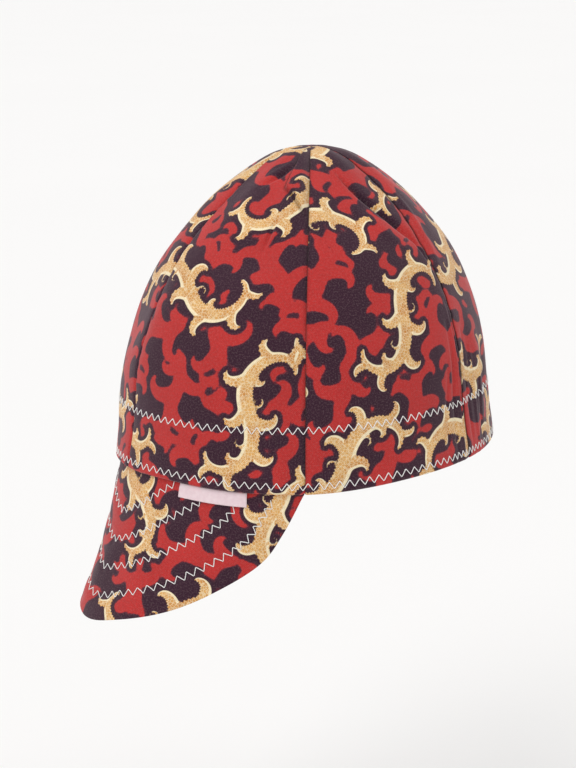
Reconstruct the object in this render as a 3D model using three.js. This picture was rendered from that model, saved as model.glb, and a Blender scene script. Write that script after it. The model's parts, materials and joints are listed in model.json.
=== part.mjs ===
// Soft cap with a short quilted brim, made of six cloth gores, a brim and a bare tag.
// Millimetres, +Z up. The origin is the middle of the head opening, in the plane of its rim.
// The front faces -Y and the wearer's left is +X.
import * as THREE from 'three';
import { mergeVertices } from 'three/addons/utils/BufferGeometryUtils.js';

// Crown
const RIM_HALF_LENGTH = 104; // front to back, half of the outside of the rim
const RIM_HALF_WIDTH = 88; // side to side, half of the outside of the rim
const CROWN_HEIGHT = 155.7; // rim to top
const CROWN_LEAN = 4; // how far the top lies behind the middle of the rim
const RIM_SAG = 2.4; // how far the rim hangs lower where the side seams end
const RIM_SAG_ANGLE = 68; // degrees from the front, on both sides
const RIM_SAG_SPREAD = 24;
const RIM_SAG_HEIGHT = 0.4; // share of the height up to which the cloth sags
const CLOTH = 1.2; // one ply of the crown
const HEM_HEIGHT = 30; // the lowest part of each gore, turned up double
const HEM_FADE = 3; // height in which the turned ply ends
const SEAM_GAP = 0.3; // clearance between sewn pieces
const TIP_RADIUS = 0.9; // where the gores stop short of the top
const GORE_PUFF = 0.9; // how far the middle of each gore swells past its seams

// Angles in degrees, from the front towards the wearer's left
const SIDE_SEAM = 64.5;
const REAR_SIDE_SEAM = 121.5;
const SEAM_ANGLES = [0, SIDE_SEAM, REAR_SIDE_SEAM, 180, 360 - REAR_SIDE_SEAM, 360 - SIDE_SEAM, 360];

// Brim
const BRIM_REACH = 79.8; // free length at the front
const BRIM_THICKNESS = 2.8; // two plies with a thin padding
const BRIM_TUCK = 7; // part sewn up inside the hem
const BRIM_PITCH = THREE.MathUtils.degToRad(73.6); // below the horizontal, at the front
const BRIM_PITCH_GAIN = THREE.MathUtils.degToRad(17.5); // steeper by this much at its ends
const BRIM_FLARE = THREE.MathUtils.degToRad(9.5); // how much the pitch eases from seam to edge
const BRIM_DROOP = THREE.MathUtils.degToRad(12); // steeper still on the wearer's right
const BRIM_DROOP_SPAN = 40; // degrees from the front in which that side comes to droop
const BRIM_TURN = 14; // length below the rim in which the brim comes out from under the hem
const BRIM_RELIEF = 1.4; // how far it comes out there

// Tag
const LABEL_WIDTH = 36;
const LABEL_DROP = 6.8;
const LABEL_TOP = 0.3; // below the rim
const LABEL_THICKNESS = 1;
const LABEL_GAP = 0.45; // clearance to the brim behind it
const LABEL_ANGLE = 37.1; // degrees, from the front towards the wearer's left

// Facets
const GORE_COLUMNS = 10;
const HEM_ROWS = 3;
const FADE_ROWS = 1;
const DOME_ROWS = 17;
const BRIM_COLUMNS = 2 * GORE_COLUMNS; // as the two gores that it is sewn to
const BRIM_ROWS = 9;
const LABEL_COLUMNS = 5;
const LABEL_ROWS = 2;

// Half-section of the crown: share of the rim's size at each share of the height
const CROWN_PROFILE = [
  { height: 0, radius: 1 },
  { height: 0.1, radius: 0.972 },
  { height: 0.2, radius: 0.953 },
  { height: 0.35, radius: 0.923 },
  { height: 0.5, radius: 0.85 },
  { height: 0.65, radius: 0.734 },
  { height: 0.78, radius: 0.581 },
  { height: 0.88, radius: 0.417 },
  { height: 0.96, radius: 0.243 },
  { height: 0.99, radius: 0.122 },
  { height: 1, radius: 0 },
];

// Free length of the brim from its middle to its end, as shares of its half width and of its reach
const BRIM_OUTLINE = [
  { across: 0, reach: 1 },
  { across: 0.2, reach: 0.925 },
  { across: 0.4, reach: 0.809 },
  { across: 0.6, reach: 0.64 },
  { across: 0.8, reach: 0.442 },
  { across: 0.9, reach: 0.257 },
  { across: 1, reach: 0 },
];

// Soft dents (minus) and swells (plus) of the crown's cloth. Each lies at an angle in degrees and
// a share of the height, spreads that far both ways, and is that many millimetres deep.
const CROWN_FOLDS = [
  { angle: 44, height: 0.7, angleSpread: 9, heightSpread: 0.05, depth: -1.6 },
  { angle: 53, height: 0.86, angleSpread: 8, heightSpread: 0.09, depth: 1.5 },
  { angle: 84, height: 0.84, angleSpread: 12, heightSpread: 0.06, depth: -1.4 },
  { angle: 127, height: 0.3, angleSpread: 3.5, heightSpread: 0.14, depth: -1.5 },
  { angle: 134, height: 0.26, angleSpread: 3, heightSpread: 0.12, depth: 1.2 },
  { angle: 141, height: 0.24, angleSpread: 3, heightSpread: 0.12, depth: -1.3 },
  { angle: 224, height: 0.28, angleSpread: 4, heightSpread: 0.13, depth: -1.4 },
  { angle: 300, height: 0.66, angleSpread: 10, heightSpread: 0.06, depth: -1.3 },
  { angle: 332, height: 0.24, angleSpread: 22, heightSpread: 0.14, depth: 1.2 },
  { angle: 332, height: 0.74, angleSpread: 20, heightSpread: 0.1, depth: -1 },
  { angle: 152, height: 0.42, angleSpread: 18, heightSpread: 0.16, depth: -1.4 },
];

// Looks of the cloths
const PRINTED_COTTON = { color: 0x8a2f33, roughness: 0.85, metalness: 0 };
const TAG_SATIN = { color: 0xe8d3d3, roughness: 0.55, metalness: 0 };

// Where a function that rises from 0 to 1 reaches a value
function solve(rising, value) {
  let low = 0;
  let high = 1;
  for (let step = 0; step < 40; step += 1) {
    const middle = (low + high) / 2;
    if (rising(middle) < value) low = middle;
    else high = middle;
  }
  return low;
}

const profileCurve = new THREE.SplineCurve(
  CROWN_PROFILE.map((row) => new THREE.Vector2(row.radius, row.height)),
);

// Share of the section's length at a height in millimetres
function shareAtHeight(height) {
  return solve((share) => profileCurve.getPointAt(share).y * CROWN_HEIGHT, height);
}

const HEM_SHARE = shareAtHeight(HEM_HEIGHT);
const FADE_SHARE = shareAtHeight(HEM_HEIGHT + HEM_FADE);
const TIP_SHARE = 1 - TIP_RADIUS / RIM_HALF_LENGTH / profileCurve.getLength();

// Share of the section's length at each row of a gore, with rows where the hem ends
function rowShare(row) {
  const pastHem = row - HEM_ROWS;
  const pastFade = pastHem - FADE_ROWS;
  if (pastHem <= 0) return (HEM_SHARE * row) / HEM_ROWS;
  if (pastFade <= 0) return THREE.MathUtils.lerp(HEM_SHARE, FADE_SHARE, pastHem / FADE_ROWS);
  return THREE.MathUtils.lerp(FADE_SHARE, TIP_SHARE, pastFade / DOME_ROWS);
}

// Point of the plain dome at an angle, with the section's radius and height shares
function domePoint(angle, radius, height) {
  const turn = THREE.MathUtils.degToRad(angle);
  const fromFront = Math.abs(THREE.MathUtils.euclideanModulo(angle + 180, 360) - 180);
  const away = (fromFront - RIM_SAG_ANGLE) / RIM_SAG_SPREAD;
  const low = THREE.MathUtils.clamp(1 - height / RIM_SAG_HEIGHT, 0, 1);
  return new THREE.Vector3(
    RIM_HALF_WIDTH * radius * Math.sin(turn),
    -RIM_HALF_LENGTH * radius * Math.cos(turn) + CROWN_LEAN * height ** 1.5,
    CROWN_HEIGHT * height - RIM_SAG * Math.exp(-away * away) * low ** 2,
  );
}

// Outward direction of the plain dome at an angle and a share of the section's length
function domeNormal(angle, share) {
  const step = 1e-3;
  const below = profileCurve.getPointAt(Math.max(share - step, 0));
  const above = profileCurve.getPointAt(Math.min(share + step, 1));
  const here = profileCurve.getPointAt(share);
  const upward = domePoint(angle, above.x, above.y).sub(domePoint(angle, below.x, below.y));
  const sideways = domePoint(angle + 1, here.x, here.y).sub(domePoint(angle - 1, here.x, here.y));
  return sideways.cross(upward).normalize();
}

// Swell of the crown's cloth at an angle and a height share, in millimetres
function foldDepth(angle, height) {
  return CROWN_FOLDS.reduce((depth, fold) => {
    const turn = THREE.MathUtils.euclideanModulo(angle - fold.angle + 180, 360) - 180;
    const across = turn / fold.angleSpread;
    const along = (height - fold.height) / fold.heightSpread;
    return depth + fold.depth * Math.exp(-across * across - along * along);
  }, 0);
}

// Wall of a gore at a height share: two plies in the hem, one above it
function wallAt(height) {
  const pastHem = (height * CROWN_HEIGHT - HEM_HEIGHT) / HEM_FADE;
  return CLOTH * (2 - THREE.MathUtils.clamp(pastHem, 0, 1));
}

// Closed sheet: a divided box whose points go where place(u, v, w) says, each running from 0 to 1
function sheet(columns, rows, place) {
  const box = new THREE.BoxGeometry(1, 1, 1, columns, rows, 1);
  box.deleteAttribute('normal');
  box.deleteAttribute('uv');
  const geometry = mergeVertices(box, 1e-4);
  const positions = geometry.getAttribute('position');
  for (let index = 0; index < positions.count; index += 1) {
    const corner = new THREE.Vector3().fromBufferAttribute(positions, index).addScalar(0.5);
    const point = place(corner.x, corner.y, corner.z);
    positions.setXYZ(index, point.x, point.y, point.z);
  }
  geometry.computeVertexNormals();
  return geometry;
}

// One gore between two seams, from the rim up to the top
function gore(startAngle, endAngle) {
  const rows = HEM_ROWS + FADE_ROWS + DOME_ROWS;
  return sheet(GORE_COLUMNS, rows, (u, v, w) => {
    const share = rowShare(v * rows);
    const section = profileCurve.getPointAt(share);
    const inset = THREE.MathUtils.radToDeg(SEAM_GAP / 2 / (section.x * RIM_HALF_WIDTH));
    const angle = THREE.MathUtils.lerp(startAngle + inset, endAngle - inset, u);
    const puff = GORE_PUFF * Math.sin(Math.PI * u) * Math.sin(Math.PI * section.y);
    const depth = puff + foldDepth(angle, section.y) - (1 - w) * wallAt(section.y);
    const point = domePoint(angle, section.x, section.y);
    return point.addScaledVector(domeNormal(angle, share), depth);
  });
}

const outlineCurve = new THREE.SplineCurve([
  ...BRIM_OUTLINE.slice(1).reverse().map((row) => new THREE.Vector2(-row.across, row.reach)),
  ...BRIM_OUTLINE.map((row) => new THREE.Vector2(row.across, row.reach)),
]);

// Free length of the brim at a place across it, from -1 to 1
function brimReach(across) {
  const place = solve((share) => outlineCurve.getPoint(share).x, across);
  return Math.max(outlineCurve.getPoint(place).y, 0) * BRIM_REACH;
}

// Point of the brim: down runs from the rim to its edge and is negative inside the hem, and depth
// is measured inwards from its outer face
function brimPoint(angle, down, depth) {
  const share = shareAtHeight(Math.max(-down, 0));
  const section = profileCurve.getPointAt(share);
  const wallNormal = domeNormal(angle, share);
  const point = domePoint(angle, section.x, section.y);
  point.addScaledVector(wallNormal, -2 * CLOTH - SEAM_GAP);
  if (down <= 0) return point.addScaledVector(wallNormal, -depth);
  const across = angle / SIDE_SEAM;
  const droop = BRIM_DROOP * THREE.MathUtils.smoothstep(-angle, 0, BRIM_DROOP_SPAN);
  const flare = BRIM_FLARE * (0.5 - down / BRIM_REACH);
  const pitch = BRIM_PITCH + BRIM_PITCH_GAIN * across ** 2 + droop + flare;
  const eased = THREE.MathUtils.smoothstep(down, 0, BRIM_TURN);
  const outward = new THREE.Vector3(wallNormal.x, wallNormal.y, 0).normalize();
  const upward = new THREE.Vector3(0, 0, 1);
  const brimNormal = outward.clone().multiplyScalar(Math.sin(pitch));
  brimNormal.addScaledVector(upward, Math.cos(pitch));
  return point
    .addScaledVector(outward, Math.cos(pitch) * down + BRIM_RELIEF * eased)
    .addScaledVector(upward, -Math.sin(pitch) * down)
    .addScaledVector(wallNormal.lerp(brimNormal, eased), -depth);
}

// Brim, from its tuck inside the hem down to its outer edge
function brim() {
  return sheet(BRIM_COLUMNS, BRIM_ROWS, (u, v, w) => {
    const across = THREE.MathUtils.lerp(-1, 1, u);
    const down = THREE.MathUtils.lerp(brimReach(across), -BRIM_TUCK, v);
    return brimPoint(across * SIDE_SEAM, down, (1 - w) * BRIM_THICKNESS);
  });
}

// Tag that hangs from the seam between hem and brim, in front of the brim
function label() {
  const oneDegree = domePoint(LABEL_ANGLE + 0.5, 1, 0).distanceTo(domePoint(LABEL_ANGLE - 0.5, 1, 0));
  const span = LABEL_WIDTH / oneDegree;
  return sheet(LABEL_COLUMNS, LABEL_ROWS, (u, v, w) => {
    const angle = LABEL_ANGLE + (u - 0.5) * span;
    const down = LABEL_TOP + (1 - v) * LABEL_DROP;
    return brimPoint(angle, down, -LABEL_GAP - w * LABEL_THICKNESS);
  });
}

// Named piece with its own material
function piece(name, geometry, look) {
  const mesh = new THREE.Mesh(geometry, new THREE.MeshStandardMaterial(look));
  mesh.name = name;
  return mesh;
}

const cap = new THREE.Group();
SEAM_ANGLES.slice(0, -1).forEach((angle, index) => {
  cap.add(piece(`crown_panel_${index + 1}`, gore(angle, SEAM_ANGLES[index + 1]), PRINTED_COTTON));
});
cap.add(piece('brim', brim(), PRINTED_COTTON));
cap.add(piece('label', label(), TAG_SATIN));

export default cap;
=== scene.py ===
"""Looks of a soft cap with a short quilted brim: printed cotton, zigzag stitching and a bare tag."""
import json
import logging
import math
from collections.abc import Callable
from dataclasses import dataclass, field
from enum import Enum

import bmesh
import bpy
import numpy as np
from mathutils import Matrix, Vector

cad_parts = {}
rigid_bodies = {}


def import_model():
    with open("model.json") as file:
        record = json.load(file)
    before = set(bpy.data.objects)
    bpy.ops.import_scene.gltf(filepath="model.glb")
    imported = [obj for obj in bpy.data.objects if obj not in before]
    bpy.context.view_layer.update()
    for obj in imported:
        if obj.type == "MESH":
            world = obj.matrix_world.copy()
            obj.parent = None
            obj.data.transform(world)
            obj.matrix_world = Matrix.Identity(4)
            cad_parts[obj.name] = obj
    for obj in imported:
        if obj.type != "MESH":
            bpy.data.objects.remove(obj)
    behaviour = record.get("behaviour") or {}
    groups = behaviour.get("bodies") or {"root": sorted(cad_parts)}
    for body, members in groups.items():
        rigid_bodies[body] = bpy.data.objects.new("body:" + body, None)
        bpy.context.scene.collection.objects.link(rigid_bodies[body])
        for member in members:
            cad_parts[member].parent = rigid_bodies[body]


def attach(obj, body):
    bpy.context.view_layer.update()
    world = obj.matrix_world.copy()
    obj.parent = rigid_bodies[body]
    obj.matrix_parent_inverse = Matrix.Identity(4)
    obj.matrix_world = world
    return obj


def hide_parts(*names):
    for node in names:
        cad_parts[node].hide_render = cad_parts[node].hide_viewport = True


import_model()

LOG = logging.getLogger("cap")
MM = 0.001
BODY = "root"
NOTHING_PRINTED = -99.0
FAR_MM = 1e3
WELD_MM = 0.02
SMALLEST_RADIUS = 1e-4
TINY = 1e-12
GORE_CUTS = ((18, 22), (71, 156), (205, 300), (340, 40), (130, 420), (420, 250))

Array = np.ndarray
Attributes = dict[str, Array]
Placement = Callable[[Array, Array], tuple[Array, Attributes]]
SurfacePlace = Callable[[Array, Array, Array], Array]


class Slot(Enum):
    """Material slots of the record."""

    CROWN = "printed_cotton"
    BRIM = "quilted_cotton"
    TAG = "tag_satin"


class ClothSide(Enum):
    """Side of the printed cotton, with the share of its colour that is lost there."""

    FACE = 0.0
    BACK = 0.45


def linear(code: str) -> tuple[float, float, float, float]:
    """Turns an sRGB hex colour to linear light.

    Args:
        code: colour as "#rrggbb".

    Returns:
        Red, green, blue and an alpha of 1.
    """
    shares = [int(code[place : place + 2], 16) / 255 for place in (1, 3, 5)]
    light = [s / 12.92 if s <= 0.04045 else ((s + 0.055) / 1.055) ** 2.4 for s in shares]
    return (light[0], light[1], light[2], 1.0)


def smoothstep(value: Array, low: float, high: float) -> Array:
    """Rises smoothly from 0 at low to 1 at high."""
    share = np.clip((value - low) / (high - low), 0, 1)
    return share * share * (3 - 2 * share)


def merge_measures(known: Array, found: Array, blend: float) -> Array:
    """Joins two measures of the print as ink runs together, with rounded inner corners.

    Args:
        known: distance inside, way along and share across, for each place.
        found: the same for another figure.
        blend: distance in millimetres over which the two figures run together.

    Returns:
        The measures of both together.
    """
    first, second = known[:, 0], found[:, 0]
    joined = np.where((second > first)[:, None], found, known)
    near = np.maximum(blend - np.abs(first - second), 0) / blend
    joined[:, 0] = np.maximum(first, second) + near * near * blend / 4
    return joined


def unit(vectors: Array) -> Array:
    """Scales each vector to length 1."""
    return vectors / np.maximum(np.linalg.norm(vectors, axis=-1, keepdims=True), TINY)


def turn_from(angle: Array, origin: float) -> Array:
    """Turn from an origin to each angle, from -180 to 180 degrees."""
    return np.mod(angle - origin + 180, 360) - 180


def catmull_rom(rows: Array, share: Array) -> Array:
    """Finds points of the smooth curve through rows.

    Args:
        rows: points that the curve goes through.
        share: places along the curve, from 0 to 1.

    Returns:
        One point for each share.
    """
    last = len(rows) - 1
    index = np.minimum((share * last).astype(int), last - 1)
    weight = (share * last - index)[:, None]
    before, start = rows[np.maximum(index - 1, 0)], rows[index]
    end, after = rows[index + 1], rows[np.minimum(index + 2, last)]
    leave, arrive = (end - before) / 2, (after - start) / 2
    cubic = 2 * start - 2 * end + leave + arrive
    square = 3 * end - 3 * start - 2 * leave - arrive
    return ((cubic * weight + square) * weight + leave) * weight + start


def add_node(
    tree: bpy.types.NodeTree,
    kind: str,
    inputs: dict[str | int, object] | None = None,
    **settings: object,
) -> bpy.types.Node:
    """Adds a node with its settings and its links.

    Args:
        tree: node tree that it goes into.
        kind: type name of the node, without its "ShaderNode".
        inputs: value, or socket to link from, for each input by name or number.
        settings: properties of the node.

    Returns:
        The node.
    """
    node = tree.nodes.new("ShaderNode" + kind)
    for name, value in settings.items():
        setattr(node, name, value)
    for socket, value in (inputs or {}).items():
        if isinstance(value, bpy.types.NodeSocket):
            tree.links.new(value, node.inputs[socket])
        else:
            node.inputs[socket].default_value = value
    return node


def new_material(name: str) -> tuple[bpy.types.Material, bpy.types.NodeTree]:
    """Makes an empty node material.

    Args:
        name: name of the material.

    Returns:
        The material and its node tree.
    """
    material = bpy.data.materials.new(name)
    material.use_nodes = True
    material.node_tree.nodes.clear()
    return material, material.node_tree


def finish_material(tree: bpy.types.NodeTree, **sockets: object) -> None:
    """Adds the shader and the output to a material.

    Args:
        tree: node tree of the material.
        sockets: value or link for each socket of the shader, by its name with underscores.
    """
    inputs = {name.replace("_", " "): value for name, value in sockets.items()}
    shader = add_node(tree, "BsdfPrincipled", inputs)
    add_node(tree, "OutputMaterial", {"Surface": shader.outputs[0]})


@dataclass(frozen=True)
class Stroke:
    """Tapering stroke of the print.

    parent is the share along the stem where it leaves, side is which way it turns off, length and
    width (half of the widest) are in millimetres, curl is its own turn and lean its angle to the
    stem in degrees, and widest is the share of its length where it is widest.
    """

    parent: float
    side: int
    length: float
    width: float
    curl: float
    lean: float
    widest: float = 0.4


@dataclass(frozen=True)
class TracedStroke:
    """Stroke as points with a heading, a half width and a length so far at each."""

    points: Array
    headings: Array
    widths: Array
    along: Array


@dataclass
class Sprig:
    """Stem with leaves, the figure that a print repeats. Its middle is at the origin.

    bend and hook are the stem's turns in radians per millimetre at its ends, and their powers say how
    late they set in. root, tip and leaf_root are shares of the width at the start of the stem, at its
    end and at the start of a leaf. blend is the distance over which strokes run together.
    """

    stem: Stroke
    leaves: tuple[Stroke, ...]
    bend: float
    bend_power: float
    hook: float
    hook_power: float
    root: float
    tip: float
    leaf_root: float
    blend: float
    strokes: list[TracedStroke] = field(default_factory=list)

    STEP_MM = 0.8
    FEWEST_POINTS = 6
    LEAF_TIP = 0.08
    LEAF_CURL_GAIN = 2.7
    LEAF_CURL_START = 0.35
    TAPER_POWER = 0.8
    NARROWEST_MM = 0.5
    MARGIN_MM = 10.0

    def __post_init__(self) -> None:
        """Traces the stem and its leaves."""
        stem = self.trace(self.stem, np.zeros(2), 0.0, self.stem_curvature, self.root, self.tip)
        stem.points[:] -= stem.points[len(stem.points) // 2].copy()
        self.strokes.append(stem)
        for leaf in self.leaves:
            index = int(leaf.parent * (len(stem.points) - 1))
            heading = stem.headings[index] + math.radians(leaf.lean) * leaf.side
            pull = leaf.side * math.radians(leaf.curl) / leaf.length

            def curvature(share: Array, pull: float = pull) -> Array:
                """Curls more and more towards the tip."""
                return pull * (self.LEAF_CURL_GAIN * share - self.LEAF_CURL_START)

            start = stem.points[index]
            traced = self.trace(leaf, start, heading, curvature, self.leaf_root, self.LEAF_TIP)
            self.strokes.append(traced)

    def stem_curvature(self, share: Array) -> Array:
        """Bends the stem one way in its first half and the other way in its second.

        Args:
            share: places along the stem, from 0 to 1.

        Returns:
            Turn in radians per millimetre at each.
        """
        place = 2 * share - 1
        size = np.abs(place)
        bent = self.bend * size**self.bend_power + self.hook * size**self.hook_power
        return -np.sign(place) * bent

    def trace(
        self,
        stroke: Stroke,
        start: Array,
        heading: float,
        curvature: Callable[[Array], Array],
        root: float,
        tip: float,
    ) -> TracedStroke:
        """Follows a stroke from its start.

        Args:
            stroke: what to follow.
            start: first point, in millimetres.
            heading: first direction, in radians.
            curvature: turn per millimetre at each share of the length.
            root: share of the width at the start.
            tip: share of the width at the end.

        Returns:
            The traced stroke.
        """
        share = np.linspace(0, 1, max(int(stroke.length / self.STEP_MM), self.FEWEST_POINTS))
        step = stroke.length / (len(share) - 1)
        bends = curvature(share)
        turned = np.cumsum((bends[1:] + bends[:-1]) / 2) * step
        headings = heading + np.concatenate([[0.0], turned])
        ways = np.stack([np.cos(headings), np.sin(headings)], -1)
        moved = np.cumsum((ways[1:] + ways[:-1]) / 2, 0) * step
        points = start + np.concatenate([[[0.0, 0.0]], moved])
        rise = root + (1 - root) * np.sin(np.pi / 2 * np.minimum(share / stroke.widest, 1))
        past = np.clip((share - stroke.widest) / (1 - stroke.widest), 0, 1)
        fall = tip + (1 - tip) * np.cos(np.pi / 2 * past) ** self.TAPER_POWER
        widths = stroke.width * np.where(share < stroke.widest, rise, fall)
        return TracedStroke(points, headings, widths, share * stroke.length)

    def measure(self, places: Array) -> Array:
        """Measures places of the cloth against the figure.

        Args:
            places: points in millimetres.

        Returns:
            For each place, how far it is inside the figure, how far along the stroke there, and how
            far off the stroke's middle as a share of the half width.
        """
        result = np.tile([NOTHING_PRINTED, 0.0, 0.0], (len(places), 1))
        for stroke in self.strokes:
            low = stroke.points.min(0) - self.MARGIN_MM
            high = stroke.points.max(0) + self.MARGIN_MM
            near = np.flatnonzero(((places > low) & (places < high)).all(1))
            if not len(near):
                continue
            offsets = places[near, None] - stroke.points[None]
            inside = stroke.widths - np.hypot(offsets[..., 0], offsets[..., 1])
            best = inside.argmax(1)
            picked = np.arange(len(near)), best
            offset, heading = offsets[picked], stroke.headings[best]
            along = offset[:, 0] * np.cos(heading) + offset[:, 1] * np.sin(heading)
            lateral = offset[:, 1] * np.cos(heading) - offset[:, 0] * np.sin(heading)
            share = lateral / np.maximum(stroke.widths[best], self.NARROWEST_MM)
            found = np.stack([inside[picked], stroke.along[best] + along, share], -1)
            result[near] = merge_measures(result[near], found, self.blend)
        return result


@dataclass(frozen=True)
class Repeat:
    """A figure repeated over endless cloth in half-dropped rows, turned differently each time.

    across and up are the spacing, jitter is how far a figure strays from it and reach how far it
    stretches from its middle, all in millimetres.
    """

    sprig: Sprig
    across: float
    up: float
    jitter: float
    reach: float
    seed: int

    COLUMN_TURN = 137.0
    ROW_TURN = 71.0
    TURN_JITTER = 0.3
    NUMBER_BASE = 1000

    def measure(self, places: Array) -> Array:
        """Measures places of the cloth against the repeated figure.

        Args:
            places: points in millimetres.

        Returns:
            As Sprig.measure.
        """
        result = np.tile([NOTHING_PRINTED, 0.0, 0.0], (len(places), 1))
        size = np.array([self.across, self.up])
        low = np.floor((places.min(0) - self.reach) / size).astype(int) - 1
        high = np.ceil((places.max(0) + self.reach) / size).astype(int)
        for row in range(low[1], high[1] + 1):
            for column in range(low[0], high[0] + 1):
                numbers = (self.seed, column + self.NUMBER_BASE, row + self.NUMBER_BASE)
                draw = np.random.default_rng(numbers)
                shift = draw.uniform(-self.jitter, self.jitter, 2)
                centre = np.array([column + 0.5 * (row % 2), row]) * size + shift
                turn = math.radians(column * self.COLUMN_TURN + row * self.ROW_TURN)
                turn += draw.uniform(-self.TURN_JITTER, self.TURN_JITTER)
                near = np.flatnonzero((np.abs(places - centre) < self.reach).all(1))
                if not len(near):
                    continue
                cos, sin = math.cos(turn), math.sin(turn)
                local = (places[near] - centre) @ np.array([[cos, -sin], [sin, cos]])
                local[:, 0] *= 1 if (column + row) % 2 else -1
                found = self.sprig.measure(local)
                result[near] = merge_measures(result[near], found, self.sprig.blend)
        return result


@dataclass(frozen=True)
class ScrollPrint:
    """Print of gold scrolls between red tongues on a dark ground, as measures of the cloth."""

    scrolls: Repeat
    tongues: Repeat

    CLEARANCE_MM = 2.0
    ROUNDING_MM = 3.0

    def attributes(self, cloth: Array, edge: Array) -> Attributes:
        """Measures the print at points of the cloth.

        Args:
            cloth: places on the flat cloth, in millimetres.
            edge: closeness to a worn folded edge, from 0 to 1, or painted shade at a seam, under the
                flap or in a fold, from 0 to -1.

        Returns:
            Attributes that the cotton's material reads.
        """
        gold = self.scrolls.measure(cloth)
        red = self.tongues.measure(cloth)
        room = -gold[:, 0] - self.CLEARANCE_MM
        near = np.maximum(self.ROUNDING_MM - np.abs(red[:, 0] - room), 0) / self.ROUNDING_MM
        red[:, 0] = np.minimum(red[:, 0], room) - near * near * self.ROUNDING_MM / 4
        # the third axis carries edge: real wear above 0, painted shade below 0
        flat = np.column_stack([cloth, edge])
        return {"cloth_mm": flat, "gold_print": gold, "red_print": red}


SCROLL = Sprig(
    Stroke(0, 1, 98, 4.2, 0, 0, 0.45),
    (
        Stroke(0.07, -1, 10, 1.9, 110, 55),
        Stroke(0.17, -1, 13, 2.3, 140, 46),
        Stroke(0.26, 1, 12, 2.1, 170, 40),
        Stroke(0.31, -1, 16, 2.7, 150, 42),
        Stroke(0.40, 1, 18, 0.85, 330, 36, 0.3),
        Stroke(0.46, -1, 17, 2.9, 150, 40),
        Stroke(0.52, 1, 17, 2.9, 150, 40),
        Stroke(0.60, -1, 18, 0.85, 330, 36, 0.3),
        Stroke(0.66, 1, 16, 2.7, 150, 42),
        Stroke(0.74, -1, 12, 2.1, 170, 40),
        Stroke(0.81, 1, 13, 2.3, 140, 46),
        Stroke(0.92, 1, 10, 1.9, 110, 55),
    ),
    bend=0.078,
    bend_power=0.35,
    hook=0.09,
    hook_power=5,
    root=0.25,
    tip=0.22,
    leaf_root=0.5,
    blend=1.2,
)
TONGUES = Sprig(
    Stroke(0, 1, 50, 4.05, 0, 0, 0.45),
    (
        Stroke(0.10, 1, 16, 3.0, 160, 62, 0.3),
        Stroke(0.26, -1, 20, 3.5, 165, 58, 0.3),
        Stroke(0.43, 1, 23, 3.75, 170, 54, 0.3),
        Stroke(0.60, -1, 21, 3.5, 170, 52, 0.3),
        Stroke(0.76, 1, 17, 3.1, 160, 52, 0.3),
        Stroke(0.88, -1, 13, 2.4, 140, 55, 0.3),
    ),
    bend=0.06,
    bend_power=0.8,
    hook=0.09,
    hook_power=4,
    root=0.3,
    tip=0.06,
    leaf_root=0.8,
    blend=2.2,
)
PRINT = ScrollPrint(
    Repeat(SCROLL, across=78, up=58, jitter=3, reach=44, seed=7),
    Repeat(TONGUES, across=40, up=32, jitter=3, reach=34, seed=11),
)


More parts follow.
